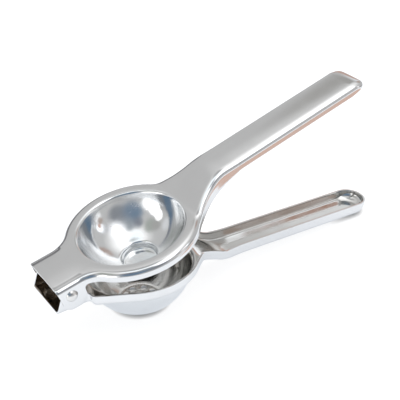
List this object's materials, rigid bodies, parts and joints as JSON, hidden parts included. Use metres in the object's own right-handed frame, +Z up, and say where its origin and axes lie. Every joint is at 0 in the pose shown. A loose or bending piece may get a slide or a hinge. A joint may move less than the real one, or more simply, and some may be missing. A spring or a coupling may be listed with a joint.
{
  "type": "hinged lemon squeezer",
  "caption": "Hinged hand press for lemons: a pressed steel arm with a bowl and a flat nose swings into a second arm with a cup and strainer holes; both end in channel handles.",
  "frame": {"origin": "centre of the bounding box's bottom face, on the table under the cup arm, with the press arm partly open", "axes": "+X from the hinge out along the handles, +Y across to the back, +Z up"},
  "size_m": [0.2204, 0.075, 0.0959],
  "materials": {
    "polished_steel": "mirror polished stainless sheet, spun satin inside the bowls",
    "rivet_steel": "polished stainless"
  },
  "bodies": {
    "cup_arm": {"cup_arm": "polished_steel"},
    "press_arm": {"press_arm": "polished_steel", "rivet_front": "rivet_steel", "rivet_back": "rivet_steel"}
  },
  "joints": [
    {"name": "hinge", "type": "hinge", "parent": "cup_arm", "child": "press_arm", "pos_m": [-0.10178, 0, 0.0348], "axis": [0, -1, 0], "range_deg": [-14.6, 59.7]}
  ]
}
